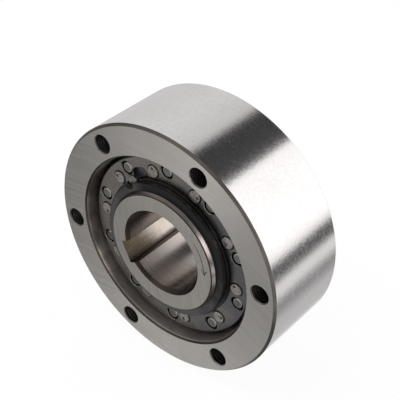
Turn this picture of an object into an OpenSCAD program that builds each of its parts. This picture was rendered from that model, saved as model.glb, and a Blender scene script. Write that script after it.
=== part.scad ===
// One-way clutch of the sprag, lift-off type, standing on its rim.
// The clutch's axis lies along Y and its front face looks towards -Y. The origin is its centre.
// Each piece is drawn as on a shop drawing of the front face: x to the right, y up and z towards
// the viewer. stand_up() then turns it onto its rim. Angles are clockwise from the top.

/* [Raceways] */
// Diameter of the inner raceway
inner_race_d = 59.4; // [56:0.1:70]
// Height of the space between the raceways, where the sprags work
sprag_space = 11.3; // [10.8:0.1:12]

/* [Outer ring] */
// Wall of the outer ring, from its raceway to its outside
ring_wall = 14; // [12:0.5:25]
// Width of the outer ring along the axis
ring_w = 40; // [38:0.5:60]
// Chamfer on the outer ring's outer edges
ring_chamfer = 1; // [0.3:0.1:2]
// How far the lead-in at each mouth of the outer raceway widens it, on the radius
lead_in = 0.7; // [0.2:0.1:1.5]
// Length of that lead-in along the axis
lead_in_l = 2.6; // [0.5:0.1:4]

/* [Bolt holes] */
// Number of bolt holes
bolt_count = 6; // [3:1:12]
// Core diameter of the tapped holes
bolt_core_d = 6.8; // [4:0.1:8.5]
// Diameter of the countersink at each mouth
bolt_mouth_d = 8.4; // [7:0.1:9.5]
// Angle of the first bolt hole
bolt_angle = 23; // [0:0.5:60]

/* [Inner ring] */
// Diameter of the shaft bore
bore_d = 35; // [20:0.5:38]
// Chamfer at each end of the shaft bore
bore_chamfer = 1.4; // [0.3:0.1:2]
// How far each end of the inner ring stands proud of the outer ring
inner_proud = 0.5; // [0:0.1:3]
// Width of the shoulder between the nose and the inner raceway
shoulder_w = 3.2; // [2:0.1:4]
// Chamfer on the nose's edge
nose_chamfer = 1.1; // [0.3:0.1:1.5]
// Depth of the nose's shoulder below the outer ring's face
shoulder_depth = 1.6; // [1:0.1:2.5]
// Edge break on the inner raceway's ends
inner_race_chamfer = 0.3; // [0.1:0.1:0.6]

/* [Keyway] */
// Width of the keyway
key_w = 10; // [5:0.5:14]
// Depth of the keyway below the bore's wall
key_depth = 3.3; // [1.5:0.1:4]
// Angle of the keyway
key_angle = 244.6; // [0:0.1:360]

/* [Engraved arrow] */
// Width of the arrow's groove
arrow_w = 0.45; // [0.2:0.05:0.8]
// Depth of the arrow's groove
arrow_depth = 0.25; // [0.1:0.05:0.5]
// Angle at which the arrow's tail starts
arrow_start = 51; // [0:1:60]
// Angle that the arrow runs through
arrow_sweep = 36; // [20:1:90]
// Length of each barb of the arrow's head
barb_l = 2.6; // [1.5:0.1:3]

/* [Cage] */
// Gap between the cage rings and the outer raceway
cage_gap = 1.6; // [1:0.1:2]
// Clearance of the cage's bore over the inner raceway, on the radius
cage_clearance = 0.3; // [0.1:0.05:0.5]
// Thickness of each cage ring
cage_t = 3; // [2:0.1:4]
// Depth of the cage's face below the outer ring's face
cage_depth = 5; // [4.7:0.1:6]
// Edge break on the cage rings' outer edges
cage_chamfer = 0.4; // [0.1:0.1:0.8]
// Angle of the notch in the front cage ring
notch_angle = 333.9; // [333.4:0.1:334.4]
// Width of the notch
notch_w = 8; // [7:0.1:8.4]
// Radius of the notch's outer corners
notch_corner = 2.5; // [1.5:0.1:3]
// How far the notch reaches out from the inner raceway
notch_reach = 5.1; // [4:0.1:6]
// Depth of the notch below the cage's face
notch_depth = 1.6; // [0.5:0.1:2.5]

/* [Cage drive pin] */
// Diameter of the pin that makes the cage turn with the inner ring
drive_pin_d = 4.7; // [3:0.1:5]
// Angle of the drive pin
drive_pin_angle = 324; // [322:0.5:325]
// How far the drive pin stands proud of the cage's face
drive_pin_stand = 1.1; // [0:0.1:1.5]
// Edge break on the drive pin
drive_pin_chamfer = 0.3; // [0.1:0.1:0.6]

/* [Spacer pins] */
// Height of the spacer pins' axes above the inner raceway
spacer_height = 3.9; // [3.8:0.1:5]
// Distance from each sprag's trunnion to its spacer pin
spacer_reach = 7.2; // [7:0.05:8]
// Diameter of a spacer pin between the cage rings
spacer_body_d = 5.8; // [5.4:0.1:6]
// Diameter of a spacer pin's ends, in the cage rings
spacer_end_d = 5.2; // [4:0.1:5.3]
// How far a spacer pin's riveted ends stand proud of the cage's faces
spacer_stand = 0.4; // [0:0.1:0.8]
// Edge break round a spacer pin's end and the mouth of its hole
spacer_chamfer = 0.45; // [0.1:0.05:0.6]
// Depth of the punch mark that stakes each spacer pin
stake_depth = 0.5; // [0.2:0.05:0.8]

/* [Sprags] */
// Angle of the first sprag
sprag_angle = 358.9; // [358:0.1:360]
// Diameter of a sprag's trunnions
trunnion_d = 4.7; // [4:0.1:5]
// Clearance round a trunnion in the cage ring, on the radius
trunnion_clearance = 0.5; // [0.1:0.05:0.6]
// How far a trunnion's end lies below the cage's face
trunnion_recess = 0.3; // [0:0.1:1]
// Edge break on a trunnion's ends
trunnion_chamfer = 0.35; // [0.1:0.05:0.6]
// Radius of the cam that meets the outer raceway
outer_cam_r = 6.2; // [5.9:0.1:7]
// Radius of the cam that meets the inner raceway
inner_cam_r = 5.6; // [5.4:0.1:6.5]
// Sideways offset of each cam's centre, which makes the sprag taller as it turns
cam_offset = 0.4; // [0.1:0.05:0.6]
// Clearance of the sprag's cams to both raceways
cam_clearance = 0.1; // [0.02:0.01:0.2]
// Width of the sprag on the side of its spacer pin, from the trunnion's axis
sprag_toe_w = 4.1; // [3.6:0.1:4.3]
// Width of the sprag on its weighted side, from the trunnion's axis
sprag_heel_w = 4.9; // [4:0.1:5.2]
// Radius of the hollow in the weighted side
heel_hollow_r = 4; // [3:0.1:6]
// Depth of the hollow in the weighted side
heel_hollow_depth = 0.5; // [0.2:0.1:0.6]
// Clearance between the sprag and its spacer pin
spacer_clearance = 0.45; // [0.35:0.05:0.6]
// Clearance between the sprag's rear end and the cage
sprag_end_clearance = 0.4; // [0.2:0.1:0.8]

/* [Sprag springs] */
// Diameter of the spring's wire
wire_d = 0.9; // [0.6:0.05:1]
// Clearance of the spring's coil round the trunnion, on the radius
coil_clearance = 0.5; // [0.3:0.05:0.6]
// Turns of the spring's coil
coil_turns = 1.3; // [1.1:0.05:1.5]
// Clearance on each side of the coil, to the cage and to the sprag
coil_end_clearance = 0.2; // [0.1:0.05:0.3]
// How far the spring's tail reaches into its hole in the sprag
tail_l = 2.4; // [1.5:0.1:4]
// Clearance round the tail in its hole, on the radius
tail_clearance = 0.2; // [0.1:0.05:0.3]

/* [Retaining rings] */
// Thickness of the retaining rings
retainer_t = 1.2; // [0.8:0.1:1.5]
// How far a retaining ring stands out of its groove
retainer_stand = 0.8; // [0.6:0.1:1]
// Depth of its groove below the inner raceway
retainer_groove = 0.8; // [0.5:0.1:1.2]
// Play of a retaining ring between its groove's wall and the cage
retainer_play = 0.1; // [0.05:0.05:0.3]
// Angle that the gap between a retaining ring's ends runs through
retainer_gap = 24; // [22:1:30]
// Angle of the middle of that gap
retainer_angle = 330; // [328:0.5:331]

/* [Hidden] */

$fn = 96;
sprag_count = 10;
sprag_step = 360 / sprag_count;

// How far cutting shapes run past the faces that they cut
over = 1;

inner_race_r = inner_race_d / 2;
outer_race_r = inner_race_r + sprag_space;
ring_r = outer_race_r + ring_wall;
bolt_circle_r = (outer_race_r + ring_r) / 2;
nose_r = inner_race_r - shoulder_w;
half_ring = ring_w / 2;
half_inner = half_ring + inner_proud;
half_race = half_ring - shoulder_depth;

cage_face = half_ring - cage_depth;
cage_back = cage_face - cage_t;
cage_r = outer_race_r - cage_gap;
cage_bore_r = inner_race_r + cage_clearance;
drive_pin_r = inner_race_r + cage_clearance / 2;

// The sprags' trunnions lie midway between the raceways
sprag_r = inner_race_r + sprag_space / 2;
spacer_r = inner_race_r + spacer_height;
trunnion_r = trunnion_d / 2;
trunnion_hole_r = trunnion_r + trunnion_clearance;
trunnion_end = cage_face - trunnion_recess;

// The spring's coil lies between the front cage ring and the sprag's front end
coil_r = trunnion_r + coil_clearance + wire_d / 2;
coil_pitch = wire_d + 0.1;
coil_l = wire_d + coil_pitch * coil_turns;
sprag_front = cage_back - coil_l - 2 * coil_end_clearance;
sprag_back = -cage_back + sprag_end_clearance;
coil_top = cage_back - coil_end_clearance - wire_d / 2;
coil_low = coil_top - coil_pitch * coil_turns;
coil_steps = 26;
elbow_r = wire_d;

// Each spacer pin lags its sprag by the angle that sets it at its distance from the trunnion.
// As seen from the trunnion, it lies at spacer_x clockwise and spacer_y outwards.
spacer_lag = acos((pow(sprag_r, 2) + pow(spacer_r, 2) - pow(spacer_reach, 2)) / (2 * sprag_r * spacer_r));
spacer_x = -spacer_r * sin(spacer_lag);
spacer_y = spacer_r * cos(spacer_lag) - sprag_r;
spacer_dir = atan2(spacer_y, spacer_x);

// The spring's leg is tangent to its coil and rests on the outer side of the spacer pin
leg_seat_r = (spacer_body_d + wire_d) / 2 + 0.02;
leg_l = spacer_reach + wire_d;
coil_start = spacer_dir - acos((coil_r - leg_seat_r) / spacer_reach);
coil_end = coil_start - 360 * coil_turns;
tail_at = on_coil(coil_end) + elbow_r * heading(coil_end);

// Each cam's centre lies where its arc just clears the raceway
outer_cam_y = sqrt(pow(outer_race_r - cam_clearance - outer_cam_r, 2) - pow(cam_offset, 2)) - sprag_r;
inner_cam_y = sqrt(pow(inner_race_r + cam_clearance + inner_cam_r, 2) - pow(cam_offset, 2)) - sprag_r;

retainer_r = inner_race_r + retainer_stand;
retainer_seat_r = inner_race_r - retainer_groove;
retainer_back = cage_face + retainer_play;

// Stands the drawing up: its z, towards the viewer, becomes -Y
module stand_up() {
    rotate([90, 0, 0]) children();
}

// Places a child at a radius and at an angle clockwise from the top
module at_angle(angle, r = 0) {
    rotate(-angle) translate([0, r, 0]) children();
}

// Mirrors a child from the front half to the rear half
module to_rear() {
    mirror([0, 0, 1]) children();
}

// A cylinder from z0 up to z1
module rod(r, z0, z1) {
    translate([0, 0, z0]) cylinder(r = r, h = z1 - z0);
}

// A cylinder from z0 up to z1 with its upper edge broken
module rod_broken_top(r, z0, z1, chamfer) {
    rotate_extrude() polygon([[0, z0], [r, z0], [r, z1 - chamfer], [r - chamfer, z1], [0, z1]]);
}

// A cylinder from -half_l to half_l with both edges broken
module rod_broken_ends(r, half_l, chamfer) {
    shank = half_l - chamfer;
    rotate_extrude() polygon([
        [0, -half_l], [r - chamfer, -half_l], [r, -shank], [r, shank], [r - chamfer, half_l], [0, half_l]
    ]);
}

// A cone that widens a hole's mouth at height z from radius r by the chamfer's size
module mouth_cut(r, z, chamfer) {
    translate([0, 0, z - chamfer]) cylinder(r1 = r, r2 = r + chamfer, h = chamfer);
    rod(r + chamfer, z, z + over);
}

module outer_ring() {
    mouth_r = outer_race_r + lead_in;
    bolt_chamfer = (bolt_mouth_d - bolt_core_d) / 2;
    color("lightgray") stand_up() difference() {
        rotate_extrude() polygon([
            [outer_race_r, half_ring - lead_in_l],
            [mouth_r, half_ring],
            [ring_r - ring_chamfer, half_ring],
            [ring_r, half_ring - ring_chamfer],
            [ring_r, ring_chamfer - half_ring],
            [ring_r - ring_chamfer, -half_ring],
            [mouth_r, -half_ring],
            [outer_race_r, lead_in_l - half_ring]
        ]);
        for (i = [0 : bolt_count - 1]) {
            at_angle(bolt_angle + i * 360 / bolt_count, bolt_circle_r) {
                rod(bolt_core_d / 2, -half_ring - over, half_ring + over);
                mouth_cut(bolt_core_d / 2, half_ring, bolt_chamfer);
                to_rear() mouth_cut(bolt_core_d / 2, half_ring, bolt_chamfer);
            }
        }
    }
}

// The front half of the inner ring's outline, from the bore outwards, as points of radius and height
function inner_ring_half(bore_r, groove_low, groove_high) = [
    [bore_r, half_inner - bore_chamfer],
    [bore_r + bore_chamfer, half_inner],
    [nose_r - nose_chamfer, half_inner],
    [nose_r, half_inner - nose_chamfer],
    [nose_r, half_race],
    [inner_race_r - inner_race_chamfer, half_race],
    [inner_race_r, half_race - inner_race_chamfer],
    [inner_race_r, groove_high],
    [retainer_seat_r, groove_high],
    [retainer_seat_r, groove_low],
    [inner_race_r, groove_low]
];

// The engraved arrow: an arc with two barbs at its clockwise end
module arrow_cut() {
    arrow_r = (bore_d / 2 + bore_chamfer + nose_r - nose_chamfer) / 2;
    arrow_end = arrow_start + arrow_sweep;
    translate([0, 0, half_inner - arrow_depth]) {
        rotate(90 - arrow_end) rotate_extrude(angle = arrow_sweep)
            translate([arrow_r - arrow_w / 2, 0]) square([arrow_w, arrow_depth + over]);
        at_angle(arrow_end, arrow_r) for (side = [-1, 1]) rotate(180 + side * 28)
            translate([-arrow_w / 2, -arrow_w / 2, 0]) cube([barb_l, arrow_w, arrow_depth + over]);
    }
}

module inner_ring() {
    side_play = retainer_play / 2;
    groove_low = retainer_back - side_play;
    groove_high = retainer_back + retainer_t + side_play;
    front = inner_ring_half(bore_d / 2, groove_low, groove_high);
    rear = [for (k = [len(front) - 1 : -1 : 0]) [front[k].x, -front[k].y]];
    color("silver") stand_up() difference() {
        rotate_extrude() polygon(concat(front, rear));
        at_angle(key_angle) translate([-key_w / 2, 0, -half_inner - over])
            cube([key_w, bore_d / 2 + key_depth, 2 * (half_inner + over)]);
        at_angle(drive_pin_angle, drive_pin_r) rod(drive_pin_d / 2, cage_back, half_race + over);
        arrow_cut();
    }
}

// One cage ring in the front half, with its face towards the front
module cage_ring() {
    difference() {
        rod_broken_top(cage_r, cage_back, cage_face, cage_chamfer);
        rod(cage_bore_r, cage_back - over, cage_face + over);
        for (i = [0 : sprag_count - 1]) {
            at_angle(sprag_angle + i * sprag_step, sprag_r)
                rod(trunnion_hole_r, cage_back - over, cage_face + over);
            at_angle(sprag_angle - spacer_lag + i * sprag_step, spacer_r) {
                rod(spacer_end_d / 2, cage_back - over, cage_face + over);
                mouth_cut(spacer_end_d / 2, cage_face, spacer_chamfer);
            }
        }
    }
}

// The notch's outline as seen from the front, open to the bore and round at its outer corners
module notch_outline() {
    end_w = notch_w - 2 * notch_corner;
    side_l = notch_reach - notch_corner;
    translate([-end_w / 2, inner_race_r - over]) square([end_w, notch_reach + over]);
    translate([-notch_w / 2, inner_race_r - over]) square([notch_w, side_l + over]);
    for (side = [-1, 1])
        translate([side * end_w / 2, inner_race_r + side_l]) circle(r = notch_corner);
}

module cage_front_ring() {
    color("dimgray") stand_up() difference() {
        cage_ring();
        at_angle(notch_angle) translate([0, 0, cage_face - notch_depth])
            linear_extrude(notch_depth + over) notch_outline();
        at_angle(drive_pin_angle, drive_pin_r)
            rod(drive_pin_d / 2, cage_back - over, cage_face + over);
    }
}

module cage_rear_ring() {
    color("dimgray") stand_up() to_rear() cage_ring();
}

module cage_drive_pin() {
    color("gray") stand_up() at_angle(drive_pin_angle, drive_pin_r)
        rod_broken_top(drive_pin_d / 2, cage_back, cage_face + drive_pin_stand, drive_pin_chamfer);
}

// A spacer pin: a thick middle that sets the cage rings apart, and a staked end in each ring
module spacer_pin(stake_angle) {
    end_r = spacer_end_d / 2;
    end_face = cage_face + spacer_stand;
    difference() {
        union() {
            rod(spacer_body_d / 2, -cage_back, cage_back);
            rod_broken_ends(end_r, end_face, spacer_chamfer);
        }
        at_angle(stake_angle, end_r / 2) for (end = [0, 1]) mirror([0, 0, end])
            translate([0, 0, end_face - stake_depth])
                cylinder(r1 = 0, r2 = 2 * stake_depth, h = 2 * stake_depth);
    }
}

module spacer_pins() {
    color("darkgray") stand_up() for (i = [0 : sprag_count - 1])
        at_angle(sprag_angle - spacer_lag + i * sprag_step, spacer_r)
            spacer_pin(stake_angle = i * 77);
}

// A snap ring with square ends, lying in its groove in front of the cage
module retaining_ring() {
    rotate(90 - retainer_angle + retainer_gap / 2) rotate_extrude(angle = 360 - retainer_gap)
        translate([retainer_seat_r, retainer_back]) square([retainer_r - retainer_seat_r, retainer_t]);
}

module retaining_ring_front() {
    color("darkslategray") stand_up() retaining_ring();
}

module retaining_ring_rear() {
    color("darkslategray") stand_up() to_rear() retaining_ring();
}

// A sprag's side view, seen from the front with its trunnion's axis at the origin. Both cams are
// arcs, and a hollow in one side clears the spacer pin.
module sprag_outline() {
    difference() {
        intersection() {
            translate([-cam_offset, outer_cam_y]) circle(r = outer_cam_r);
            translate([cam_offset, inner_cam_y]) circle(r = inner_cam_r);
            translate([-sprag_toe_w, -outer_race_r])
                square([sprag_toe_w + sprag_heel_w, 2 * outer_race_r]);
        }
        translate([spacer_x, spacer_y]) circle(r = spacer_body_d / 2 + spacer_clearance);
        translate([sprag_heel_w - heel_hollow_depth + heel_hollow_r, 0]) circle(r = heel_hollow_r);
    }
}

module sprag(i) {
    color("slategray") stand_up() at_angle(sprag_angle + i * sprag_step, sprag_r) {
        difference() {
            translate([0, 0, sprag_back]) linear_extrude(sprag_front - sprag_back) sprag_outline();
            translate([tail_at.x, tail_at.y, 0])
                rod(wire_d / 2 + tail_clearance, sprag_front - tail_l - tail_clearance, sprag_front + over);
        }
        rod_broken_ends(trunnion_r, trunnion_end, trunnion_chamfer);
    }
}

// The spring's wire runs clockwise from its leg on the spacer pin, round the coil, and down its tail
// into the sprag. These are the direction that it runs in at an angle of the coil, and its points.
function heading(angle) = [sin(angle), -cos(angle)];
function on_coil(angle) = coil_r * [cos(angle), sin(angle)];
function coil_point(turn) = concat(
    on_coil(coil_start - 360 * turn), coil_top - coil_pitch * turn
);
function elbow_point(bend) = concat(
    on_coil(coil_end) + elbow_r * sin(bend) * heading(coil_end), coil_low - elbow_r * (1 - cos(bend))
);
function wire_points() = concat(
    [concat(on_coil(coil_start) - leg_l * heading(coil_start), coil_top)],
    [for (k = [0 : coil_steps]) coil_point(coil_turns * k / coil_steps)],
    [for (bend = [30, 60, 90]) elbow_point(bend)],
    [concat(tail_at, sprag_front - tail_l)]
);

// A round wire along a list of points. The section's first axis lies flat, across the wire.
module wire(points, r, flat, sides = 8) {
    last = len(points) - 1;
    corners = [for (k = [0 : last]) let (
        run = points[min(k + 1, last)] - points[max(k - 1, 0)],
        level = norm([run.x, run.y]) / norm(run),
        across = level > 0.01 ? [run.y, -run.x, 0] / norm([run.x, run.y]) : flat,
        down = cross(run / norm(run), across)
    ) for (s = [0 : sides - 1]) let (turn = s * 360 / sides)
        points[k] + r * (cos(turn) * across + sin(turn) * down)];
    walls = [for (k = [0 : last - 1]) for (s = [0 : sides - 1]) let (t = (s + 1) % sides)
        [k * sides + s, k * sides + t, (k + 1) * sides + t, (k + 1) * sides + s]];
    start_cap = [for (s = [sides - 1 : -1 : 0]) s];
    end_cap = [for (s = [0 : sides - 1]) last * sides + s];
    polyhedron(points = corners, faces = concat(walls, [start_cap, end_cap]), convexity = 6);
}

module sprag_spring(i) {
    end_heading = heading(coil_end);
    color("goldenrod") stand_up() at_angle(sprag_angle + i * sprag_step, sprag_r)
        wire(wire_points(), wire_d / 2, flat = [end_heading.y, -end_heading.x, 0]);
}

outer_ring();
inner_ring();
cage_front_ring();
cage_rear_ring();
cage_drive_pin();
spacer_pins();
retaining_ring_front();
retaining_ring_rear();
sprag(0);  // sprag_01
sprag(1);  // sprag_02
sprag(2);  // sprag_03
sprag(3);  // sprag_04
sprag(4);  // sprag_05
sprag(5);  // sprag_06
sprag(6);  // sprag_07
sprag(7);  // sprag_08
sprag(8);  // sprag_09
sprag(9);  // sprag_10
sprag_spring(0);  // sprag_spring_01
sprag_spring(1);  // sprag_spring_02
sprag_spring(2);  // sprag_spring_03
sprag_spring(3);  // sprag_spring_04
sprag_spring(4);  // sprag_spring_05
sprag_spring(5);  // sprag_spring_06
sprag_spring(6);  // sprag_spring_07
sprag_spring(7);  // sprag_spring_08
sprag_spring(8);  // sprag_spring_09
sprag_spring(9);  // sprag_spring_10
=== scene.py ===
import math

import bpy
from mathutils import Matrix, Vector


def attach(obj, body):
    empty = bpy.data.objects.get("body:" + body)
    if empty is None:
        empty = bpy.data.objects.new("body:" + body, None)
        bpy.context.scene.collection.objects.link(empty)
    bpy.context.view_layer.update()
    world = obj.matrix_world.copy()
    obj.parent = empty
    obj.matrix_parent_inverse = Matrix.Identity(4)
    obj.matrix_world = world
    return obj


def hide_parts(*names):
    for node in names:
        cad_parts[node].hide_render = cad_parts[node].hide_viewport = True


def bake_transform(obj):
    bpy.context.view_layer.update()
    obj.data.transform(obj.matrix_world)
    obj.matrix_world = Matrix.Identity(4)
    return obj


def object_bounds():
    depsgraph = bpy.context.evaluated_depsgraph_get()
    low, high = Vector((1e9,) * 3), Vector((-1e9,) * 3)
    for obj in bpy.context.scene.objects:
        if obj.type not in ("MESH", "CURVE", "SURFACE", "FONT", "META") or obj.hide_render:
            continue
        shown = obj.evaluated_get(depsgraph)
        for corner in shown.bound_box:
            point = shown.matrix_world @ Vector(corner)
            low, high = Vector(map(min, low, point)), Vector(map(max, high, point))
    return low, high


# One-way clutch of the sprag, lift-off type, standing on its rim with its front face towards -Y.
# Sizes are in millimetres and times mm, and only the studio is set out in metres. Angles are in
# degrees, clockwise from the top as seen from the front.
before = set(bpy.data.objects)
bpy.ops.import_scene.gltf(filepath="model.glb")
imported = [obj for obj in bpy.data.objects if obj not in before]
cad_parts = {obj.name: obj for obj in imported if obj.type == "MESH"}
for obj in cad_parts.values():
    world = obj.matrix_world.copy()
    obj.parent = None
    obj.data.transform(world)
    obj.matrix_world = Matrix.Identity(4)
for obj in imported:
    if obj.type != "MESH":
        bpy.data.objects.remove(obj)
cad_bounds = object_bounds()
mm = 0.001

# Camera
# A short telephoto lens looks down at the front face from its right, from about 0.37 m away, so the
# ring's outside shows above and to the right of its face.
camera_lens = bpy.data.cameras.new("camera")
camera_lens.sensor_width = 36
camera_lens.lens = 84.88
camera_lens.clip_start = 0.01
camera = bpy.data.objects.new("camera", camera_lens)
camera.location = (0.19322, -0.22710, 0.23547)
looks_down, looks_left = 36.56, 39.95
camera.rotation_euler = (math.radians(90 - looks_down), 0, math.radians(looks_left))
bpy.context.scene.collection.objects.link(camera)
bpy.context.scene.camera = camera
bpy.context.scene.view_settings.view_transform = "Standard"


# Studio
# The clutch stands on white paper in a light tent. The tent's panels and the gaps between them lie
# along the clutch's axis, so the polished outside shows them as straight bands.
def add_node(tree, kind, inputs=None, **settings):
    """Adds a node with its settings, and links or fills its inputs."""
    node = tree.nodes.new(kind)
    for setting, value in settings.items():
        setattr(node, setting, value)
    for socket, value in (inputs or {}).items():
        if isinstance(value, bpy.types.NodeSocket):
            tree.links.new(value, node.inputs[socket])
        else:
            node.inputs[socket].default_value = value
    return node


def set_stops(ramp_node, stops):
    """Fills a ramp from (position, grey) stops."""
    elements = ramp_node.color_ramp.elements
    while len(elements) > 1:
        elements.remove(elements[-1])
    elements[0].position = stops[0][0]
    for position, _ in stops[1:]:
        elements.new(position)
    for element, (_, grey) in zip(elements, stops):
        element.color = (grey, grey, grey, 1)


def deselect_all():
    """Deselects every object."""
    bpy.ops.object.select_all(action="DESELECT")


# Brightness of the tent behind the clutch's front face, by the angle round its axis
tent_behind = [
    (-180, 0.66), (-169, 0.72), (-164, 0.87), (-159, 1.14), (-152, 1.06), (-139, 0.82), (-131, 0.56),
    (-110, 0.75), (-89, 0.87), (-52, 1.03), (-41, 1.02), (-20, 0.93), (-16, 0.87), (-9.5, 0.12), (-4, 0.07),
    (15, 0.09), (21, 0.14), (25, 0.42), (28.5, 1.55), (32, 1.72), (88, 1.9), (96, 1.74), (101.5, 1.3),
    (106, 0.24), (112, 0.14), (117.5, 0.32), (123, 1.2), (131, 1.12), (138, 0.55), (144, 0.37), (160, 0.73),
    (180, 0.66)
]
# Brightness of the tent beside the clutch, with a bright panel to the right of the camera
tent_beside = [
    (-180, 0.5), (-156, 0.6), (-149, 0.66), (-144, 0.5), (-138, 0.24), (-131, 0.14), (-120, 0.14), (-90, 0.3),
    (-40, 0.4), (0, 0.3), (24, 0.25), (44, 0.35), (54, 0.9), (61, 2.1), (68, 2.6), (82, 2.2), (89, 1.3),
    (95, 0.5), (103, 0.35), (109, 1), (116, 1.4), (121, 0.35), (128, 0.8), (136, 0.75), (143, 0.3),
    (156, 0.15), (180, 0.3)
]
# Brightness of the tent in front of it, where the camera stands
tent_in_front = [
    (-180, 0.4), (-156, 0.32), (-149, 0.32), (-142, 0.7), (-136, 1.1), (-130, 0.85), (-120, 0.5), (-90, 0.5),
    (-40, 0.95), (0, 0.5), (20, 0.4), (60, 0.6), (110, 0.6), (125, 0.3), (150, 0.4), (180, 0.4)
]
# A ramp holds no more than 1, so brightness is divided by this peak, and the light gives it back
tent_peak = 2
# How far along the axis a look points where the tent's parts blend into each other
front_blend, back_blend = (-0.5, -0.68), (-0.05, 0.4)
world = bpy.data.worlds.new("light_tent")
bpy.context.scene.world = world
world.use_nodes = True
tree = world.node_tree
tree.nodes.clear()
look = add_node(tree, "ShaderNodeTexCoord")
look_xyz = add_node(tree, "ShaderNodeSeparateXYZ", {0: look.outputs["Generated"]})
look_angle = add_node(tree, "ShaderNodeMath", {0: look_xyz.outputs["X"], 1: look_xyz.outputs["Z"]},
                      operation="ARCTAN2")
look_turn = add_node(tree, "ShaderNodeMath", {0: look_angle.outputs[0], 1: 0.5 / math.pi, 2: 0.5},
                     operation="MULTIPLY_ADD")
panels = []
for stops in (tent_behind, tent_beside, tent_in_front):
    ramp = add_node(tree, "ShaderNodeValToRGB", {0: look_turn.outputs[0]})
    set_stops(ramp, [(0.5 + angle / 360, grey / tent_peak) for angle, grey in stops])
    panels.append(ramp.outputs[0])
look_front = add_node(tree, "ShaderNodeMapRange",
                      {0: look_xyz.outputs["Y"], 1: front_blend[0], 2: front_blend[1]},
                      interpolation_type="SMOOTHSTEP")
near_tent = add_node(tree, "ShaderNodeMix",
                     {0: look_front.outputs[0], 6: panels[1], 7: panels[2]}, data_type="RGBA")
look_back = add_node(tree, "ShaderNodeMapRange",
                     {0: look_xyz.outputs["Y"], 1: back_blend[0], 2: back_blend[1]},
                     interpolation_type="SMOOTHSTEP")
tent = add_node(tree, "ShaderNodeMix",
                {0: look_back.outputs[0], 6: near_tent.outputs[2], 7: panels[0]}, data_type="RGBA")
tent_light = add_node(tree, "ShaderNodeBackground", {0: tent.outputs[2], 1: tent_peak})
paper_white = add_node(tree, "ShaderNodeBackground", {0: (1, 1, 1, 1), 1: 1})
ray = add_node(tree, "ShaderNodeLightPath")
seen = add_node(tree, "ShaderNodeMixShader",
                {0: ray.outputs["Is Camera Ray"], 1: tent_light.outputs[0], 2: paper_white.outputs[0]})
add_node(tree, "ShaderNodeOutputWorld", {0: seen.outputs[0]})

# A soft lamp above the clutch's left shoulder gives the paper its shadow
lamp_light = bpy.data.lights.new("soft_lamp", "AREA")
lamp_light.size = 0.6
lamp_light.energy = 5
lamp = bpy.data.objects.new("soft_lamp", lamp_light)
lamp.location = (-0.25, -0.2, 0.8)
lamp.rotation_euler = (math.radians(14), math.radians(-17), 0)
lamp.visible_glossy = False
bpy.context.scene.collection.objects.link(lamp)

# The paper floor touches the clutch's rim. To the camera most of its white is a glow, and the rest is
# lit, which keeps a faint shadow.
glow_share, floor_r = 0.94, 4
deselect_all()
bpy.ops.mesh.primitive_circle_add(vertices=64, radius=floor_r, fill_type="NGON",
                                  location=(0, 0, cad_bounds[0][2]))
floor = bpy.context.object
floor.name = "paper_floor"
floor.visible_glossy = False
floor.visible_shadow = False
paper = bpy.data.materials.new("white_paper")
paper.use_nodes = True
tree = paper.node_tree
tree.nodes.clear()
sheet = add_node(tree, "ShaderNodeBsdfDiffuse", {0: (0.9, 0.9, 0.9, 1)})
glow = add_node(tree, "ShaderNodeEmission", {0: (1, 1, 1, 1), 1: 1})
ray = add_node(tree, "ShaderNodeLightPath")
share = add_node(tree, "ShaderNodeMath", {0: ray.outputs["Is Camera Ray"], 1: glow_share},
                 operation="MULTIPLY")
shown = add_node(tree, "ShaderNodeMixShader", {0: share.outputs[0], 1: sheet.outputs[0], 2: glow.outputs[0]})
add_node(tree, "ShaderNodeOutputMaterial", {0: shown.outputs[0]})
floor.data.materials.append(paper)


# Outer ring
# Hardened bearing steel, turned, then ground on its outside, raceway and faces. Six M8 holes are
# tapped from face to face for the screws that hold a cover or a torque arm.
def select_only(*pieces):
    """Selects these pieces, with the first one active."""
    deselect_all()
    for piece in pieces:
        piece.select_set(True)
    bpy.context.view_layer.objects.active = pieces[0]


def start_edit():
    """Enters edit mode with the whole mesh selected."""
    bpy.ops.object.mode_set(mode="EDIT")
    bpy.ops.mesh.select_all(action="SELECT")


def end_edit(weld=0.0):
    """Merges doubles within a gap in mm, turns all faces outwards, and leaves edit mode."""
    bpy.ops.mesh.select_all(action="SELECT")
    if weld:
        bpy.ops.mesh.remove_doubles(threshold=weld * mm)
    bpy.ops.mesh.normals_make_consistent(inside=False)
    bpy.ops.object.mode_set(mode="OBJECT")


# Gaps in mm that are merged in a turned piece, and in a wire or a copy of a CAD mesh
fine_weld, wide_weld = 0.0001, 0.001


def turned(name, outline, sides, hollow=True):
    """Turns an outline of (radius, y) steps: a circle is extruded and resized from step to step. A hollow
    piece's last step closes on its first, and a solid one is capped at both ends."""
    deselect_all()
    radius, y = outline[0]
    bpy.ops.mesh.primitive_circle_add(
        vertices=sides, radius=radius * mm, fill_type="NOTHING" if hollow else "NGON",
        location=(0, y * mm, 0), rotation=(math.pi / 2, 0, 0))
    piece = bpy.context.object
    piece.name = name
    bpy.ops.object.transform_apply(location=True, rotation=True, scale=True)
    start_edit()
    for next_radius, next_y in outline[1:] + (outline[:1] if hollow else []):
        move = {"value": (0, (next_y - y) * mm, 0)}
        if hollow:
            bpy.ops.mesh.extrude_edges_move(TRANSFORM_OT_translate=move)
        else:
            bpy.ops.mesh.extrude_region_move(TRANSFORM_OT_translate=move)
        grow = next_radius / radius
        bpy.ops.transform.resize(value=(grow, 1, grow), center_override=(0, next_y * mm, 0))
        radius, y = next_radius, next_y
    end_edit(fine_weld)
    return piece


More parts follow.
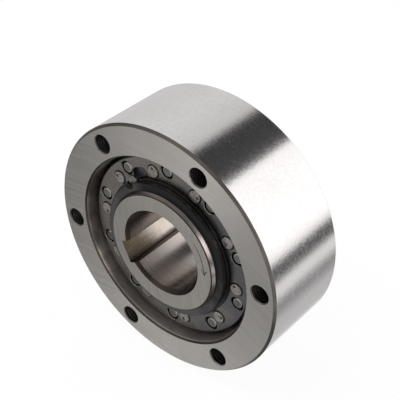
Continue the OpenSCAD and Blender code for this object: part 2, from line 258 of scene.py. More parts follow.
def place(piece, angle=0, radius=0, y=0):
    """Moves a piece's mesh out from the axis by a radius, then round it to an angle."""
    turn = Matrix.Rotation(math.radians(angle), 4, "Y")
    piece.data.transform(turn @ Matrix.Translation((0, y * mm, radius * mm)))
    return piece


def copies_round(piece, angles):
    """Copies a piece to each of these angles round the axis, and removes the first."""
    copies = []
    for angle in angles:
        copy = bpy.data.objects.new(piece.name, piece.data.copy())
        bpy.context.scene.collection.objects.link(copy)
        copies.append(place(copy, angle))
    bpy.data.objects.remove(piece)
    return copies


def join(pieces):
    """Joins pieces into the first one."""
    select_only(*pieces)
    bpy.ops.object.join()
    return pieces[0]


def apply_modifier(piece, kind, **settings):
    """Gives a piece one modifier and applies it."""
    select_only(piece)
    modifier = piece.modifiers.new(kind.lower(), kind)
    for setting, value in settings.items():
        setattr(modifier, setting, value)
    bpy.ops.object.modifier_apply(modifier=modifier.name)


def break_edges(piece, width, segments=2, angle=25):
    """Rounds every edge sharper than an angle, by a width in mm."""
    apply_modifier(piece, "BEVEL", width=width * mm, segments=segments, limit_method="ANGLE",
                   angle_limit=math.radians(angle), use_clamp_overlap=True)


def cut(piece, cutter):
    """Cuts a cutter's shape out of a piece."""
    apply_modifier(piece, "BOOLEAN", object=cutter, operation="DIFFERENCE", solver="EXACT")
    bpy.data.objects.remove(cutter)


def shade(piece, angle=32):
    """Shades a piece smooth, except over its sharp edges."""
    select_only(piece)
    bpy.ops.object.shade_smooth_by_angle(angle=math.radians(angle))
    apply_modifier(piece, "WEIGHTED_NORMAL", keep_sharp=True)


def finish_faces(piece, finishes):
    """Gives each face the first finish whose test it passes. A test gets the centre's distance from the
    axis and place along it, how far the face points along the axis, and the centre itself, in mm. Margins
    of up to 0.5 mm in the tests keep the centres clear of their limits."""
    for material, _ in finishes:
        piece.data.materials.append(material)
    for face in piece.data.polygons:
        x, y, z = (value / mm for value in face.center)
        for index, (_, test) in enumerate(finishes):
            if test(math.hypot(x, z), y, face.normal.y, (x, y, z)):
                face.material_index = index
                break


def linear(hex_colour):
    """An sRGB hex colour as the linear values that Blender's sockets take."""
    levels = [int(hex_colour[k:k + 2], 16) / 255 for k in (1, 3, 5)]
    return [v / 12.92 if v <= 0.04045 else ((v + 0.055) / 1.055) ** 2.4 for v in levels] + [1]


# Machining marks are this deep in mm where the relief is at its full strength
mark_depth = 0.02


def steel(name, dark, light, roughness, pattern, anisotropic=0.0, bump=0.0, stain="#8c8880", stain_share=0.2,
          stain_and_shade_run=(0, 0, 0)):
    """A bare metal finish. The pattern makes a fine height from the tree, and with it the colour runs
    from dark to light and the roughness between its two values. A broad, faint stain lies over it, and
    gathers along its run, a direction as long as the stain's growth in a metre. Where a run darkens one
    side of a piece, the stain there is painted shade."""
    material = bpy.data.materials.new(name)
    material.use_nodes = True
    tree = material.node_tree
    shader = tree.nodes["Principled BSDF"]
    shader.inputs["Metallic"].default_value = 1
    coords = add_node(tree, "ShaderNodeTexCoord")
    height = pattern(tree, coords.outputs["Object"])
    lines = add_node(tree, "ShaderNodeMix", {0: height, 6: linear(dark), 7: linear(light)}, data_type="RGBA")
    # Faint stains of oil and handling, 10 to 20 mm across
    cloud = add_node(tree, "ShaderNodeTexNoise", {0: coords.outputs["Object"], "Scale": 70, "Detail": 4})
    # The run darkens the stain towards one side of a piece, which on some pieces is painted shade
    run = add_node(tree, "ShaderNodeVectorMath", {0: coords.outputs["Object"], 1: stain_and_shade_run},
                   operation="DOT_PRODUCT")
    spread = add_node(tree, "ShaderNodeMath", {0: cloud.outputs[0], 1: run.outputs["Value"]})
    patches = add_node(tree, "ShaderNodeMapRange",
                       {0: spread.outputs[0], 1: 0.45, 2: 0.75, 3: 0, 4: stain_share})
    stain_and_shade_mix = add_node(tree, "ShaderNodeMix",
                       {0: patches.outputs[0], 6: lines.outputs[2], 7: linear(stain)}, data_type="RGBA")
    tree.links.new(stain_and_shade_mix.outputs[2], shader.inputs["Base Color"])
    gloss = add_node(tree, "ShaderNodeMapRange", {0: height, 1: 0, 2: 1, 3: roughness[0], 4: roughness[1]})
    tree.links.new(gloss.outputs[0], shader.inputs["Roughness"])
    if anisotropic:
        # A quarter turn lays the stretch of the reflections across the lines
        shader.inputs["Anisotropic"].default_value = anisotropic
        shader.inputs["Anisotropic Rotation"].default_value = 0.25
        tangent = add_node(tree, "ShaderNodeTangent", direction_type="RADIAL", axis="Y")
        tree.links.new(tangent.outputs[0], shader.inputs["Tangent"])
    if bump:
        relief = add_node(tree, "ShaderNodeBump",
                          {"Strength": bump, "Distance": mark_depth * mm, "Height": height})
        tree.links.new(relief.outputs[0], shader.inputs["Normal"])
    return material


# A noise keeps mostly between these levels, so a pattern stretches them to 0 and 1
noise_low, noise_high = 0.3, 0.7


def stretched_noise(tree, at, scale):
    """A noise stretched into lines. Coordinates are in metres, so a scale is 1000 over a size in mm."""
    stretched = add_node(tree, "ShaderNodeMapping", {0: at, "Scale": scale})
    noise = add_node(tree, "ShaderNodeTexNoise",
                     {0: stretched.outputs[0], "Scale": 1, "Detail": 4, "Roughness": 0.65})
    return noise.outputs[0]


def lines_round(spacing, length, specks=0.0):
    """Grinding or turning lines that run round the axis, so far apart and so long in mm. A share of the
    pattern can be specks about 1 mm across."""
    def pattern(tree, at):
        noise = stretched_noise(tree, at, (1000 / length, 1000 / spacing, 1000 / length))
        speck = add_node(tree, "ShaderNodeTexNoise", {0: at, "Scale": 900, "Detail": 3, "Roughness": 0.7})
        both = add_node(tree, "ShaderNodeMix", {0: specks, 2: noise, 3: speck.outputs[0]})
        level = add_node(tree, "ShaderNodeMapRange", {0: both.outputs[0], 1: noise_low, 2: noise_high})
        return level.outputs[0]
    return pattern


def lines_arc(spacing, length, centre):
    """Lines of a face grinder: shallow arcs about a centre (x, z), so far apart and so long in mm."""
    def pattern(tree, at):
        centred = add_node(tree, "ShaderNodeMapping",
                           {0: at, "Location": (-centre[0] * mm, 0, -centre[1] * mm)})
        xyz = add_node(tree, "ShaderNodeSeparateXYZ", {0: centred.outputs[0]})
        flat = add_node(tree, "ShaderNodeCombineXYZ", {"X": xyz.outputs["X"], "Z": xyz.outputs["Z"]})
        reach = add_node(tree, "ShaderNodeVectorMath", {0: flat.outputs[0]}, operation="LENGTH")
        angle = add_node(tree, "ShaderNodeMath", {0: xyz.outputs["X"], 1: xyz.outputs["Z"]},
                         operation="ARCTAN2")
        arc = add_node(tree, "ShaderNodeCombineXYZ", {"X": reach.outputs["Value"], "Y": angle.outputs[0]})
        scale = (1000 / spacing, math.hypot(*centre) / length, 1)
        scaled = add_node(tree, "ShaderNodeMapping", {0: arc.outputs[0], "Scale": scale})
        noise = add_node(tree, "ShaderNodeTexNoise",
                         {0: scaled.outputs[0], "Scale": 1, "Detail": 4, "Roughness": 0.7})
        # This noise is stretched a little less, which keeps the arcs soft
        level = add_node(tree, "ShaderNodeMapRange", {0: noise.outputs[0], 1: 0.25, 2: 0.75})
        return level.outputs[0]
    return pattern


def grain(size, detail=4):
    """An even grain of a size in mm, as tumbling or heat treatment leaves."""
    def pattern(tree, at):
        noise = add_node(tree, "ShaderNodeTexNoise",
                         {0: at, "Scale": 1000 / size, "Detail": detail, "Roughness": 0.6})
        level = add_node(tree, "ShaderNodeMapRange", {0: noise.outputs[0], 1: noise_low, 2: noise_high})
        return level.outputs[0]
    return pattern


ring_r, ring_half, ring_chamfer, race_r = 55, 20, 1, 41
# The raceway's mouth, in steps of (way out from the raceway, depth from the face): a short bevel runs
# into a curve that fades into the raceway. The mouth reaches about 1 mm out from the raceway.
mouth_curve = [(0, 2.6), (0.03, 1.85), (0.09, 1.4), (0.18, 1.05), (0.32, 0.72), (0.95, 0)]
mouth_reach = 1
outer_ring = turned("ring_outer", [(race_r + out, deep - ring_half) for out, deep in mouth_curve] + [
    (ring_r - ring_chamfer, -ring_half), (ring_r, ring_chamfer - ring_half),
    (ring_r, ring_half - ring_chamfer), (ring_r - ring_chamfer, ring_half),
] + [(race_r + out, ring_half - deep) for out, deep in mouth_curve[::-1]], sides=256)
break_edges(outer_ring, 0.12)

# Cutters reach this far past the faces that they cut
past = 1

# M8 coarse: the holes are bored near the thread's major diameter, and its ridge winds inside them
bolt_circle_r, bolt_r, bolt_mouth_r, bolt_bore_r, thread_pitch = 48, 3.4, 4.2, 3.8, 1.25
bolt_count, first_bolt = 6, 23
bolt_step = 360 // bolt_count
bolt_angles = [first_bolt + bolt_step * k for k in range(bolt_count)]
mouth_end = ring_half - (bolt_mouth_r - bolt_bore_r)
bolt_cutter = turned("bolt_cutter", [
    (bolt_mouth_r, -ring_half - past), (bolt_mouth_r, -ring_half), (bolt_bore_r, -mouth_end),
    (bolt_bore_r, mouth_end), (bolt_mouth_r, ring_half), (bolt_mouth_r, ring_half + past)
], sides=48, hollow=False)
place(bolt_cutter, radius=bolt_circle_r)
cut(outer_ring, join(copies_round(bolt_cutter, bolt_angles)))

# The ridge starts a little way in from the face, and its root is sunk into the bore's wall. Half its
# width at the root and at the crest are shares of the pitch.
deselect_all()
bpy.ops.mesh.primitive_plane_add(size=1)
thread = bpy.context.object
thread.name = "thread"
thread_in, thread_sink, thread_turns = 0.35, 0.03, 30
thread_start, thread_root_r = thread_in - ring_half, bolt_bore_r + thread_sink
root, crest = 0.52 * thread_pitch, 0.1 * thread_pitch
for vertex, (x, y) in zip(thread.data.vertices, [
    (thread_root_r, -root), (bolt_r, -crest), (thread_root_r, root), (bolt_r, crest)
]):
    vertex.co = (x * mm, (y + thread_start + root) * mm, 0)
apply_modifier(thread, "SCREW", angle=math.tau, screw_offset=thread_pitch * mm, iterations=thread_turns,
               steps=24, render_steps=24, axis="Y", use_merge_vertices=True, merge_threshold=fine_weld * mm)
start_edit()
end_edit()
place(thread, radius=bolt_circle_r)
join([outer_ring] + copies_round(thread, bolt_angles))

# Cylindrical grinding leaves lines round the ring, too fine to show one by one: they are drawn 0.5 mm
# apart. They stretch reflections along the axis.
cylinder_ground = steel("bearing_steel_cylindrical_ground", "#bebbbb", "#d0cdcc", (0.05, 0.22),
                        lines_round(0.5, 8, 0.7), anisotropic=0.5, bump=0.55, stain_share=0.08)
# A large wheel ground the faces, and left long arcs. They make the faces an even satin grey.
face_ground = steel("bearing_steel_face_ground", "#b6b2ad", "#d0ccc7", (0.2, 0.3),
                    lines_arc(0.8, 45, (-20, -150)), anisotropic=0.8, bump=0.22, stain="#a39e97")
# The lathe's chamfers keep a scale from hardening, darker and browner than the ground steel
chamfer_turned = steel("bearing_steel_turned_hardened", "#68625d", "#88827c", (0.2, 0.34),
                       lines_round(0.3, 20), bump=0.2, stain="#4f4238", stain_share=0.4)
# The raceway's honing lines stretch reflections along the axis. A brown stain lies on it, run darker
# towards its upper left as a painted dark reflection of the cage there
race_honed = steel("bearing_steel_honed", "#b8b0aa", "#d3ccc6", (0.3, 0.38), lines_round(0.35, 10),
                   anisotropic=0.95, bump=0.1, stain="#4d433c", stain_share=0.7, stain_and_shade_run=(-6, 0, 3))
# The turned mouth of the raceway keeps a brown film from hardening, and shows as a dark rim
race_mouth = steel("bearing_steel_mouth_browned", "#463e38", "#61574f", (0.3, 0.42), lines_round(0.3, 20),
                   bump=0.2)
# The threads and the holes' walls are nearly black: cutting oil and scale, and painted shade deep in
# the holes
thread_oil_and_shade = steel("bearing_steel_tapped", "#1b1a19", "#2c2a29", (0.45, 0.6), grain(0.4), bump=0.1)


def near_bolt(centre):
    """Whether a place lies inside a bolt hole."""
    angle = math.degrees(math.atan2(centre[0], centre[2]))
    off = (angle - first_bolt + bolt_step / 2) % bolt_step - bolt_step / 2
    along = bolt_circle_r * math.radians(off)
    return math.hypot(math.hypot(centre[0], centre[2]) - bolt_circle_r, along) < bolt_mouth_r + 0.1


finish_faces(outer_ring, [
    (thread_oil_and_shade, lambda r, y, facing, at: near_bolt(at) and (abs(facing) < 0.5 or abs(y) < mouth_end - 0.05)),
    (chamfer_turned, lambda r, y, facing, at: near_bolt(at) and abs(facing) < 0.9),
    (face_ground, lambda r, y, facing, at: abs(facing) > 0.9),
    (cylinder_ground, lambda r, y, facing, at: r > ring_r - 0.3 and abs(y) < ring_half - ring_chamfer),
    (race_honed, lambda r, y, facing, at: r < race_r + mouth_reach and abs(facing) < 0.5),
    (race_mouth, lambda r, y, facing, at: r < race_r + mouth_reach),
    (chamfer_turned, lambda r, y, facing, at: True)
])
shade(outer_ring, 25)
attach(outer_ring, "outer")
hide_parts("outer_ring")

# Inner ring
# Hardened bearing steel, keyed to the shaft. Each end has a nose with a polished chamfer, and a step
# down to the raceway. An arrow for the free direction is engraved in the front face.
inner_half, nose_r, bore_r, inner_race_r, shoulder_y = 20.5, 26.5, 17.5, 29.7, 18.4
bore_chamfer, shoulder_edge = 1.4, 0.3
# The nose's worn slope, in steps of (way in from the nose's outside, depth from the face)
nose_edge = 1.12
nose_slope = [(0, 1.6), (0.3, 1.2), (0.54, 0.72), (0.7, 0.38), (nose_edge, 0)]
# The groove for a snap ring
groove_r, groove_low, groove_high = 28.9, 15.05, 16.35
front_outline = [(bore_r, inner_half - bore_chamfer), (bore_r + bore_chamfer, inner_half)]
front_outline += [(nose_r - inwards, inner_half - deep) for inwards, deep in nose_slope[::-1]]
front_outline += [
    (nose_r, shoulder_y), (inner_race_r - shoulder_edge, shoulder_y),
    (inner_race_r, shoulder_y - shoulder_edge), (inner_race_r, groove_high), (groove_r, groove_high),
    (groove_r, groove_low), (inner_race_r, groove_low)
]
inner_ring = turned("ring_inner", [(r, -y) for r, y in front_outline] + front_outline[::-1], sides=256)
break_edges(inner_ring, 0.1)

# The keyway is broached, with small radii along its floor
key_w, key_floor, key_angle = 10, 20.8, 244.6
deselect_all()
bpy.ops.mesh.primitive_cube_add(size=1, location=(0, 0, key_floor / 2 * mm))
key_cutter = bpy.context.object
key_cutter.scale = (key_w * mm, 2 * (inner_half + past) * mm, key_floor * mm)
bpy.ops.object.transform_apply(location=True, rotation=True, scale=True)
break_edges(key_cutter, 0.3, 3)
place(key_cutter, key_angle)
cut(inner_ring, key_cutter)

# The drive pin sits half in the inner ring and half in the cage
pin_r, pin_angle, pin_circle_r, pin_end = 2.35, 324, 29.85, 12
pin_cutter = turned("pin_cutter", [(pin_r, -shoulder_y - past), (pin_r, -pin_end)], sides=48, hollow=False)
cut(inner_ring, place(pin_cutter, pin_angle, pin_circle_r))


def swept(name, corners, start, end, steps):
    """Sweeps a section with four corners, (radius, y), round the axis from one angle to another."""
    deselect_all()
    bpy.ops.mesh.primitive_plane_add(size=1)
    piece = bpy.context.object
    piece.name = name
    for vertex, (radius, y) in zip(piece.data.vertices, corners):
        vertex.co = (0, y * mm, radius * mm)
    start_edit()
    bpy.ops.mesh.spin(steps=steps, angle=math.radians(end - start), center=(0, 0, 0), axis=(0, 1, 0))
    end_edit()
    # Without a window the spin runs backwards, so the section is placed at the end
    return place(piece, end)


# The arrow is a V groove, about 0.5 mm wide in the face and 0.25 mm deep. Its cutter stands as far out
# of the face as it goes in, with one half width at its top and one at its tip.
arrow_r, arrow_start, arrow_end, arrow_depth, arrow_top, arrow_tip = 22.15, 51, 87, 0.25, 0.45, 0.02
cut(inner_ring, swept("arrow_cutter", [
    (arrow_r - arrow_top, -arrow_depth - inner_half), (arrow_r + arrow_top, -arrow_depth - inner_half),
    (arrow_r - arrow_tip, arrow_depth - inner_half), (arrow_r + arrow_tip, arrow_depth - inner_half)
], arrow_start, arrow_end, steps=48))
# The head's two barbs are cut the same way, back from the arrow's end
barb_l, barb_angle = 2.6, 28
for side in (-1, 1):
    bpy.ops.mesh.primitive_cube_add(size=1)
    barb = bpy.context.object
    for vertex in barb.data.vertices:
        aside, deep, along = (value > 0 for value in vertex.co)
        half_w = arrow_tip if deep else arrow_top
        y = (arrow_depth if deep else -arrow_depth) - inner_half
        vertex.co = ((half_w if aside else -half_w) * mm, y * mm, barb_l * mm if along else 0)
    barb.data.transform(Matrix.Rotation(math.radians(side * barb_angle - 90), 4, "Y"))
    place(barb, arrow_end, arrow_r)
    cut(inner_ring, barb)

# Behind its noses the ring is ground too. Its dull, dark grey is a film of oil and painted shade, where
# the ring lies under the cage
inner_cylinder = steel("bearing_steel_race_ground", "#5d5a57", "#76726e", (0.24, 0.34), lines_round(0.4, 12),
                       anisotropic=0.6, bump=0.1)
# The step down to the raceway is left as hardened, with a dark scale. Its near-black stain, run darker
# towards the upper right, is painted shade beside the nose
shoulder_scale_and_shade = steel("bearing_steel_hardening_scale_and_shade", "#5b5958", "#737170", (0.32, 0.44), grain(0.8),
                       bump=0.15, stain="#242425", stain_share=0.85, stain_and_shade_run=(9, 0, 9))
# A brown film stays where the nose's slope begins, as a thin dark line beside the face
edge_browned = steel("bearing_steel_brown_film", "#3c2f28", "#54443b", (0.3, 0.4), lines_round(0.3, 12),
                     bump=0.1)
# The bore's turned chamfer has the same film
bore_edge = steel("bearing_steel_bore_chamfer", "#352c26", "#4d423a", (0.3, 0.4), lines_round(0.3, 12),
                  bump=0.15)
# The noses' faces are ground as the outer ring's are, and are a shade darker
inner_face = steel("bearing_steel_face_ground_inner", "#a39f99", "#bebab4", (0.2, 0.3),
                   lines_arc(0.8, 30, (220, 30)), bump=0.3)
# The rest of the slope is polished by handling, and shows the tent in soft bands
nose_polished = steel("bearing_steel_polished_chamfer", "#8c837f", "#b6ada9", (0.12, 0.2),
                      lines_round(0.3, 5), bump=0.15, stain="#6b564a", stain_share=0.4)
# The bore is ground fine, so its reflections are broad and soft
bore_ground = steel("bearing_steel_bore_ground", "#a39b96", "#b2aba6", (0.26, 0.32), lines_round(0.4, 20),
                    anisotropic=0.5, bump=0.03, stain_share=0.1)


def lines_along(spacing, length):
    """Broaching or drawing lines that run along the axis, so far apart and so long in mm."""
    def pattern(tree, at):
        noise = stretched_noise(tree, at, (1000 / spacing, 1000 / length, 1000 / spacing))
        level = add_node(tree, "ShaderNodeMapRange", {0: noise, 1: noise_low, 2: noise_high})
        return level.outputs[0]
    return pattern


# Broaching leaves bright lines along the keyway's floor, and old oil gives its front end a straw tint
key_broached = steel("bearing_steel_broached", "#b0a69e", "#cbc0b7", (0.2, 0.34), lines_along(0.5, 14),
                     bump=0.15, stain="#776b4c", stain_share=0.7, stain_and_shade_run=(0, -16, 0))
# Old oil stays on the keyway's walls and in its corners, and painted shade in the keyway makes them
# dark brown
key_wall_oil_and_shade = steel("bearing_steel_keyway_wall", "#38291f", "#4f3c31", (0.3, 0.4), lines_along(0.5, 14),
                 bump=0.15)
# The engraved line is rough and holds dirt, so it shows dark on the ground face
groove_engraved = steel("steel_engraved", "#56534f", "#6b6864", (0.4, 0.5), grain(0.3))
# The walls' dark brown of oil and painted shade takes in the floor's corners, by this much
key_dir, key_corner = math.radians(key_angle), 0.28


def in_keyway(at, wall=False):
    """Whether a place lies in the keyway, outside the bore, or only in its side walls and corners."""
    out = at[0] * math.sin(key_dir) + at[2] * math.cos(key_dir)
    aside = abs(at[0] * math.cos(key_dir) - at[2] * math.sin(key_dir))
    if not 0 < out < key_floor + 0.01 or aside >= key_w / 2 + 0.01:
        return False
    outside_bore = math.hypot(at[0], at[2]) > bore_r + 0.05
    return outside_bore and (aside > key_w / 2 - key_corner or not wall)


finish_faces(inner_ring, [
    (key_wall_oil_and_shade, lambda r, y, facing, at: abs(facing) < 0.1 and in_keyway(at, True)),
    (key_broached, lambda r, y, facing, at: abs(facing) < 0.1 and in_keyway(at)),
    (groove_engraved, lambda r, y, facing, at: abs(r - arrow_r) < barb_l and abs(facing) < 0.95
     and -inner_half + 0.002 < y < -inner_half + 0.3),
    (edge_browned, lambda r, y, facing, at: r > nose_r - nose_edge and 0.7 < abs(facing) < 0.99
     and abs(y) > inner_half - 0.5),
    (inner_face, lambda r, y, facing, at: abs(facing) > 0.9 and abs(y) > inner_half - 0.5),
    (bore_edge, lambda r, y, facing, at: r < bore_r + bore_chamfer
     and abs(y) > inner_half - bore_chamfer - 0.05),
    (shoulder_scale_and_shade, lambda r, y, facing, at: r > nose_r - 0.05
     and shoulder_y - 0.5 < abs(y) < shoulder_y + 0.15),
    (nose_polished, lambda r, y, facing, at: r > nose_r - nose_edge - 0.05 and abs(y) > shoulder_y),
    (bore_ground, lambda r, y, facing, at: r < bore_r + 0.3),
    (inner_cylinder, lambda r, y, facing, at: True)
])
shade(inner_ring)
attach(inner_ring, "inner")
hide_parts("inner_ring")

# Sprags
# Ten cams of hardened chrome steel wedge between the raceways. Each turns on its own round trunnions,
# whose dark ends show in the cage's holes.
# Past this distance from the clutch's middle a sprag has only its trunnions
sprag_count, trunnion_start = 10, 12
# Hardened and tumbled, they are a grained mid grey
sprag_finish = steel("sprag_steel_hardened", "#6b6967", "#979490", (0.24, 0.42), grain(0.6), bump=0.3,
                     stain="#4c4a48", stain_share=0.4)
# The trunnions' sides are nearly black, old oil and painted shade in the gap round them in the cage's
# holes, and wear brightens the rims of their ends
sprag_oil_and_shade = steel("sprag_steel_old_oil", "#1f1e1d", "#2e2c2a", (0.3, 0.45), grain(0.6))
sprag_edge = steel("sprag_steel_worn_edge", "#b5b1ad", "#d5d1cc", (0.25, 0.4), grain(0.6), bump=0.1)
for k in range(1, sprag_count + 1):
    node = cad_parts["sprag_%02d" % k]
    sprag = bpy.data.objects.new("cam_sprag_%02d" % k, node.data.copy())
    bpy.context.scene.collection.objects.link(sprag)
    select_only(sprag)
    start_edit()
    bpy.ops.mesh.remove_doubles(threshold=wide_weld * mm)
    bpy.ops.mesh.dissolve_limited(angle_limit=math.radians(0.5))
    bpy.ops.object.mode_set(mode="OBJECT")
    break_edges(sprag, 0.3, angle=40)
    sprag.data.materials.clear()
    finish_faces(sprag, [
        (sprag_oil_and_shade, lambda r, y, facing, at: abs(y) > trunnion_start and abs(facing) < 0.3),
        (sprag_edge, lambda r, y, facing, at: abs(y) > trunnion_start and abs(facing) < 0.98),
        (sprag_finish, lambda r, y, facing, at: True)
    ])
    shade(sprag)
    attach(sprag, "sprag_%02d" % k)
    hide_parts("sprag_%02d" % k)

# Sprag springs
# One torsion spring of oiled music wire round each front trunnion presses its sprag into contact. Its
# leg lies on the spacer pin, and its tail goes into the sprag and turns with it, so the coil winds up.
first_sprag, sprag_circle_r = 358.9, 35.35
sprag_angles = [first_sprag + 360 // sprag_count * k for k in range(sprag_count)]
# Depths along the spring are counted from the middle of the clutch towards its front
wire_r, coil_r, coil_top, coil_low, coil_start, coil_turns = 0.45, 3.3, 11.35, 10.05, 109.25, 1.3
leg_l, elbow_r, tail_end = 8.1, 0.9, 7
# The drawn wire is a bright grey under its oil
spring_finish = steel("music_wire_oiled", "#7d7a74", "#a09c94", (0.2, 0.32), lines_along(0.2, 2))


def coil_point(angle, ahead=0.0):
    """A point (x, z) of the coil as seen from the front, or ahead of it along the wire."""
    turn = math.radians(angle)
    return (coil_r * math.cos(turn) + ahead * math.sin(turn),
            coil_r * math.sin(turn) - ahead * math.cos(turn))


leg_steps, coil_steps, elbow_bends = 4, 44, (20, 45, 70, 90)
coil_sweep = 360 * coil_turns
coil_end = coil_start - coil_sweep
# The wire runs down its straight leg, round the coil, through the elbow and along the tail
wire_path = [(*coil_point(coil_start, -leg_l * (1 - step / leg_steps)), coil_top)
             for step in range(leg_steps)]
wire_path += [(*coil_point(coil_start - coil_sweep * step / coil_steps),
               coil_top + (coil_low - coil_top) * step / coil_steps) for step in range(coil_steps + 1)]
wire_path += [(*coil_point(coil_end, elbow_r * math.sin(math.radians(bend))),
               coil_low - elbow_r * (1 - math.cos(math.radians(bend)))) for bend in elbow_bends]
wire_path.append((*coil_point(coil_end, elbow_r), tail_end))
for k, angle in enumerate(sprag_angles, 1):
    wire = bpy.data.curves.new("spring_wire_%02d" % k, "CURVE")
    wire.dimensions = "3D"
    wire.bevel_depth = wire_r * mm
    wire.bevel_resolution = 3
    wire.use_fill_caps = True
    spline = wire.splines.new("POLY")
    spline.points.add(len(wire_path) - 1)
    for point, (x, z, out) in zip(spline.points, wire_path):
        point.co = (x * mm, -out * mm, z * mm, 1)
    spring = bpy.data.objects.new("spring_wire_%02d" % k, wire)
    bpy.context.scene.collection.objects.link(spring)
    select_only(spring)
    bpy.ops.object.convert(target="MESH")
    spring = bpy.context.object
    start_edit()
    end_edit(wide_weld)
    place(spring, angle, sprag_circle_r)
    spring.data.materials.append(spring_finish)
    shade(spring, 50)
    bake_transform(spring)
    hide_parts("sprag_spring_%02d" % k)

# Cage rings
# Two rings of heat-treated steel plate, tumbled and lightly oiled, with a hole for each trunnion and
# each spacer pin. The front one has a notch and a half hole for the drive pin.
cage_r, cage_bore_r, cage_face, cage_back, cage_edge = 39.4, 30.0, 15, 12, 0.4
trunnion_hole_r, trunnion_break = 2.85, 0.3
# Each spacer pin stands so many degrees behind its sprag
spacer_circle_r, spacer_end_r, spacer_break, spacer_lag = 33.6, 2.6, 0.45, 11.63
notch_w, notch_corner, notch_start, notch_end, notch_angle, notch_floor = 8, 2.5, 25, 34.8, 333.9, 13.4
# Tumbling leaves the plate an even, grained grey. Its stain, run darker towards the right, is painted
# shade beside the inner ring's nose
cage_finish = steel("plate_steel_tumbled_oiled_and_shaded", "#76716b", "#98938d", (0.28, 0.42), grain(0.9, 6), bump=0.3,
                    stain="#5f5f68", stain_share=0.75, stain_and_shade_run=(6, 0, -1))
# The holes' walls are nearly black, old oil and painted shade in the holes, and the notch's floor is a
# dark grey of painted shade
hole_oil_and_shade = steel("plate_steel_oil_and_shade", "#1f1e1d", "#2e2c2a", (0.3, 0.45), grain(0.6))
notch_painted_shade = steel("plate_steel_notch_painted_shade", "#504f52", "#646266", (0.3, 0.42), grain(0.6), bump=0.2)


def in_notch(r, y, at):
    """Whether a place lies in the notch."""
    off = math.degrees(math.atan2(at[0], at[2])) % 360 - notch_angle
    return (-cage_face + 0.01 < y < 0.01 - notch_floor and r < notch_end + 0.1
            and abs(r * math.sin(math.radians(off))) < notch_w / 2 + 0.1)


def drill_holes(ring, side, hole_r, chamfer, circle_r, angles):
    """Drills a circle of holes through a cage ring, each with a chamfer at the ring's face."""
    hole = turned("hole_cutter", [
        (hole_r + chamfer, side * (cage_face + past)), (hole_r + chamfer, side * cage_face),
        (hole_r, side * (cage_face - chamfer)), (hole_r, side * (cage_back - past))
    ], sides=48, hollow=False)
    place(hole, radius=circle_r)
    cut(ring, join(copies_round(hole, angles)))


def cage_ring(name, side):
    """One cage ring on a side of the clutch, -1 for the front, drilled and with its outer edge turned off."""
    ring = turned(name, [
        (cage_bore_r, side * cage_back), (cage_bore_r, side * cage_face),
        (cage_r - cage_edge, side * cage_face), (cage_r, side * (cage_face - cage_edge)),
        (cage_r, side * cage_back)
    ], sides=224)
    break_edges(ring, 0.08)
    drill_holes(ring, side, trunnion_hole_r, trunnion_break, sprag_circle_r, sprag_angles)
    drill_holes(ring, side, spacer_end_r, spacer_break, spacer_circle_r,
                [angle - spacer_lag for angle in sprag_angles])
    return ring


cage_front = cage_ring("cage_front", -1)
# The notch is milled 1.6 mm deep, open to the bore and round at its outer corners. Its cutter reaches
# from the floor to well above the face.
notch_tall = 6
deselect_all()
bpy.ops.mesh.primitive_cube_add(size=1, location=(
    0, -(notch_floor + notch_tall / 2) * mm, (notch_end + notch_start) / 2 * mm))
notch_cutter = bpy.context.object
notch_cutter.scale = (notch_w * mm, notch_tall * mm, (notch_end - notch_start) * mm)
bpy.ops.object.transform_apply(location=True, rotation=True, scale=True)
corner_weights = notch_cutter.data.attributes.new("bevel_weight_edge", "FLOAT", "EDGE")
for edge in notch_cutter.data.edges:
    ends = [notch_cutter.data.vertices[index].co for index in edge.vertices]
    outer = all(end.z > (notch_end - 0.1) * mm for end in ends)
    corner_weights.data[edge.index].value = 1 if outer and abs(ends[0].y - ends[1].y) > mm else 0
apply_modifier(notch_cutter, "BEVEL", width=notch_corner * mm, segments=12, limit_method="WEIGHT")
place(notch_cutter, notch_angle)
cut(cage_front, notch_cutter)
pin_cutter = turned("pin_cutter", [(pin_r, -cage_face - past), (pin_r, past - cage_back)], sides=48,
                    hollow=False)
cut(cage_front, place(pin_cutter, pin_angle, pin_circle_r))
cage_rear = cage_ring("cage_rear", 1)
for ring, node in ((cage_front, "cage_front_ring"), (cage_rear, "cage_rear_ring")):
    finish_faces(ring, [
        (notch_painted_shade, lambda r, y, facing, at: in_notch(r, y, at)),
        (cage_finish, lambda r, y, facing, at: abs(facing) > 0.5 or r < cage_bore_r + 0.3
         or r > cage_r - 0.5),
        (hole_oil_and_shade, lambda r, y, facing, at: True)
    ])
    shade(ring)
    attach(ring, "inner")
    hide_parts(node)

# Spacer pins
# Ten steel pins hold the cage rings apart. Their thinner ends stand 0.4 mm out of the countersunk
# holes, and each has the mark of the punch that staked it.
spacer_body_r, spacer_stand, spacer_rim = 2.9, 0.4, 0.15
mark_r, mark_deep, mark_off, mark_turn = 1.3, 1.2, 1.3, 77
# The riveted ends are rough, and catch small bright spots of light
pin_steel = steel("pin_steel_riveted", "#75716c", "#d2ccc4", (0.26, 0.46), grain(0.8, 6), bump=0.8,
                  stain="#6a665f", stain_share=0.4)
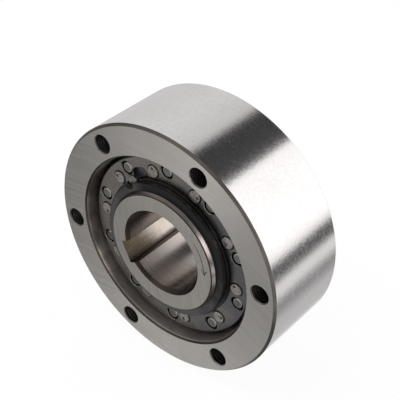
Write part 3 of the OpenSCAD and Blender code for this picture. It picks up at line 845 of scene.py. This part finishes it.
# The punch marks are coloured dark
pin_mark = steel("pin_steel_punched", "#3d3b39", "#55524f", (0.3, 0.45), grain(0.5))
spacer_half = cage_face + spacer_stand
spacer_pins = []
for k, angle in enumerate(sprag_angles):
    spacer = turned("pins_spacer", [
        (spacer_end_r - spacer_rim, -spacer_half), (spacer_end_r, spacer_rim - spacer_half),
        (spacer_end_r, -cage_back), (spacer_body_r, -cage_back), (spacer_body_r, cage_back),
        (spacer_end_r, cage_back), (spacer_end_r, spacer_half - spacer_rim),
        (spacer_end_r - spacer_rim, spacer_half)
    ], sides=40, hollow=False)
    break_edges(spacer, 0.05)
    # The punch's point is a cone, set off from the pin's middle and turned on from pin to pin
    for end in (-1, 1):
        deselect_all()
        bpy.ops.mesh.primitive_cone_add(vertices=24, radius1=0, radius2=1, depth=1,
                                        location=(0, end * spacer_half * mm, mark_off * mm),
                                        rotation=(-end * math.pi / 2, 0, 0))
        mark = bpy.context.object
        mark.scale = (mark_r * mm, mark_r * mm, mark_deep * mm)
        bpy.ops.object.transform_apply(location=True, rotation=True, scale=True)
        mark.data.transform(Matrix.Rotation(math.radians(k * mark_turn), 4, "Y"))
        cut(spacer, mark)
    spacer_pins.append(place(spacer, angle - spacer_lag, spacer_circle_r))
    finish_faces(spacer_pins[-1], [
        (pin_mark, lambda r, y, facing, at: abs(y) > cage_face and 0.2 < abs(facing) < 0.97
         and r < spacer_circle_r + spacer_end_r - 0.3),
        (pin_steel, lambda r, y, facing, at: True)
    ])
spacers = join(spacer_pins)
shade(spacers)
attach(spacers, "inner")
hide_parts("spacer_pins")

# Cage drive pin
# A short hardened pin, pressed half into the inner ring and half into the cage, makes the two turn
# together.
pin_stand, pin_edge = 1.1, 0.3
pin_top = cage_face + pin_stand
drive_pin = turned("pin_drive", [
    (pin_r, -pin_end), (pin_r, pin_edge - pin_top), (pin_r - pin_edge, -pin_top)
], sides=48, hollow=False)
break_edges(drive_pin, 0.08)
# The pin's ground end is dulled by oil to the cage's grey
dowel_steel = steel("dowel_steel_ground", "#7c7976", "#a5a19d", (0.28, 0.42), grain(0.7), bump=0.4)
drive_pin.data.materials.append(dowel_steel)
place(drive_pin, pin_angle, pin_circle_r)
shade(drive_pin)
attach(drive_pin, "inner")
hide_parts("cage_drive_pin")

# Snap rings
# Blued spring steel in a groove at each end of the inner raceway holds the cage in its place. Each is
# open at the drive pin.
snap_r, snap_low, snap_high, snap_start, snap_end = 30.5, 15.1, 16.3, 342, 678
# Blueing makes them nearly black, with a soft shine
snap_finish = steel("spring_steel_blued", "#2f3134", "#45474a", (0.22, 0.36), lines_round(0.3, 12), bump=0.15)
for side, name, node in ((-1, "snap_front", "retaining_ring_front"), (1, "snap_rear", "retaining_ring_rear")):
    snap = swept(name, [
        (groove_r, side * snap_low), (snap_r, side * snap_low),
        (groove_r, side * snap_high), (snap_r, side * snap_high)
    ], snap_start, snap_end, steps=180)
    break_edges(snap, 0.18, 3)
    snap.data.materials.append(snap_finish)
    shade(snap)
    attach(snap, "inner")
    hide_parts(node)
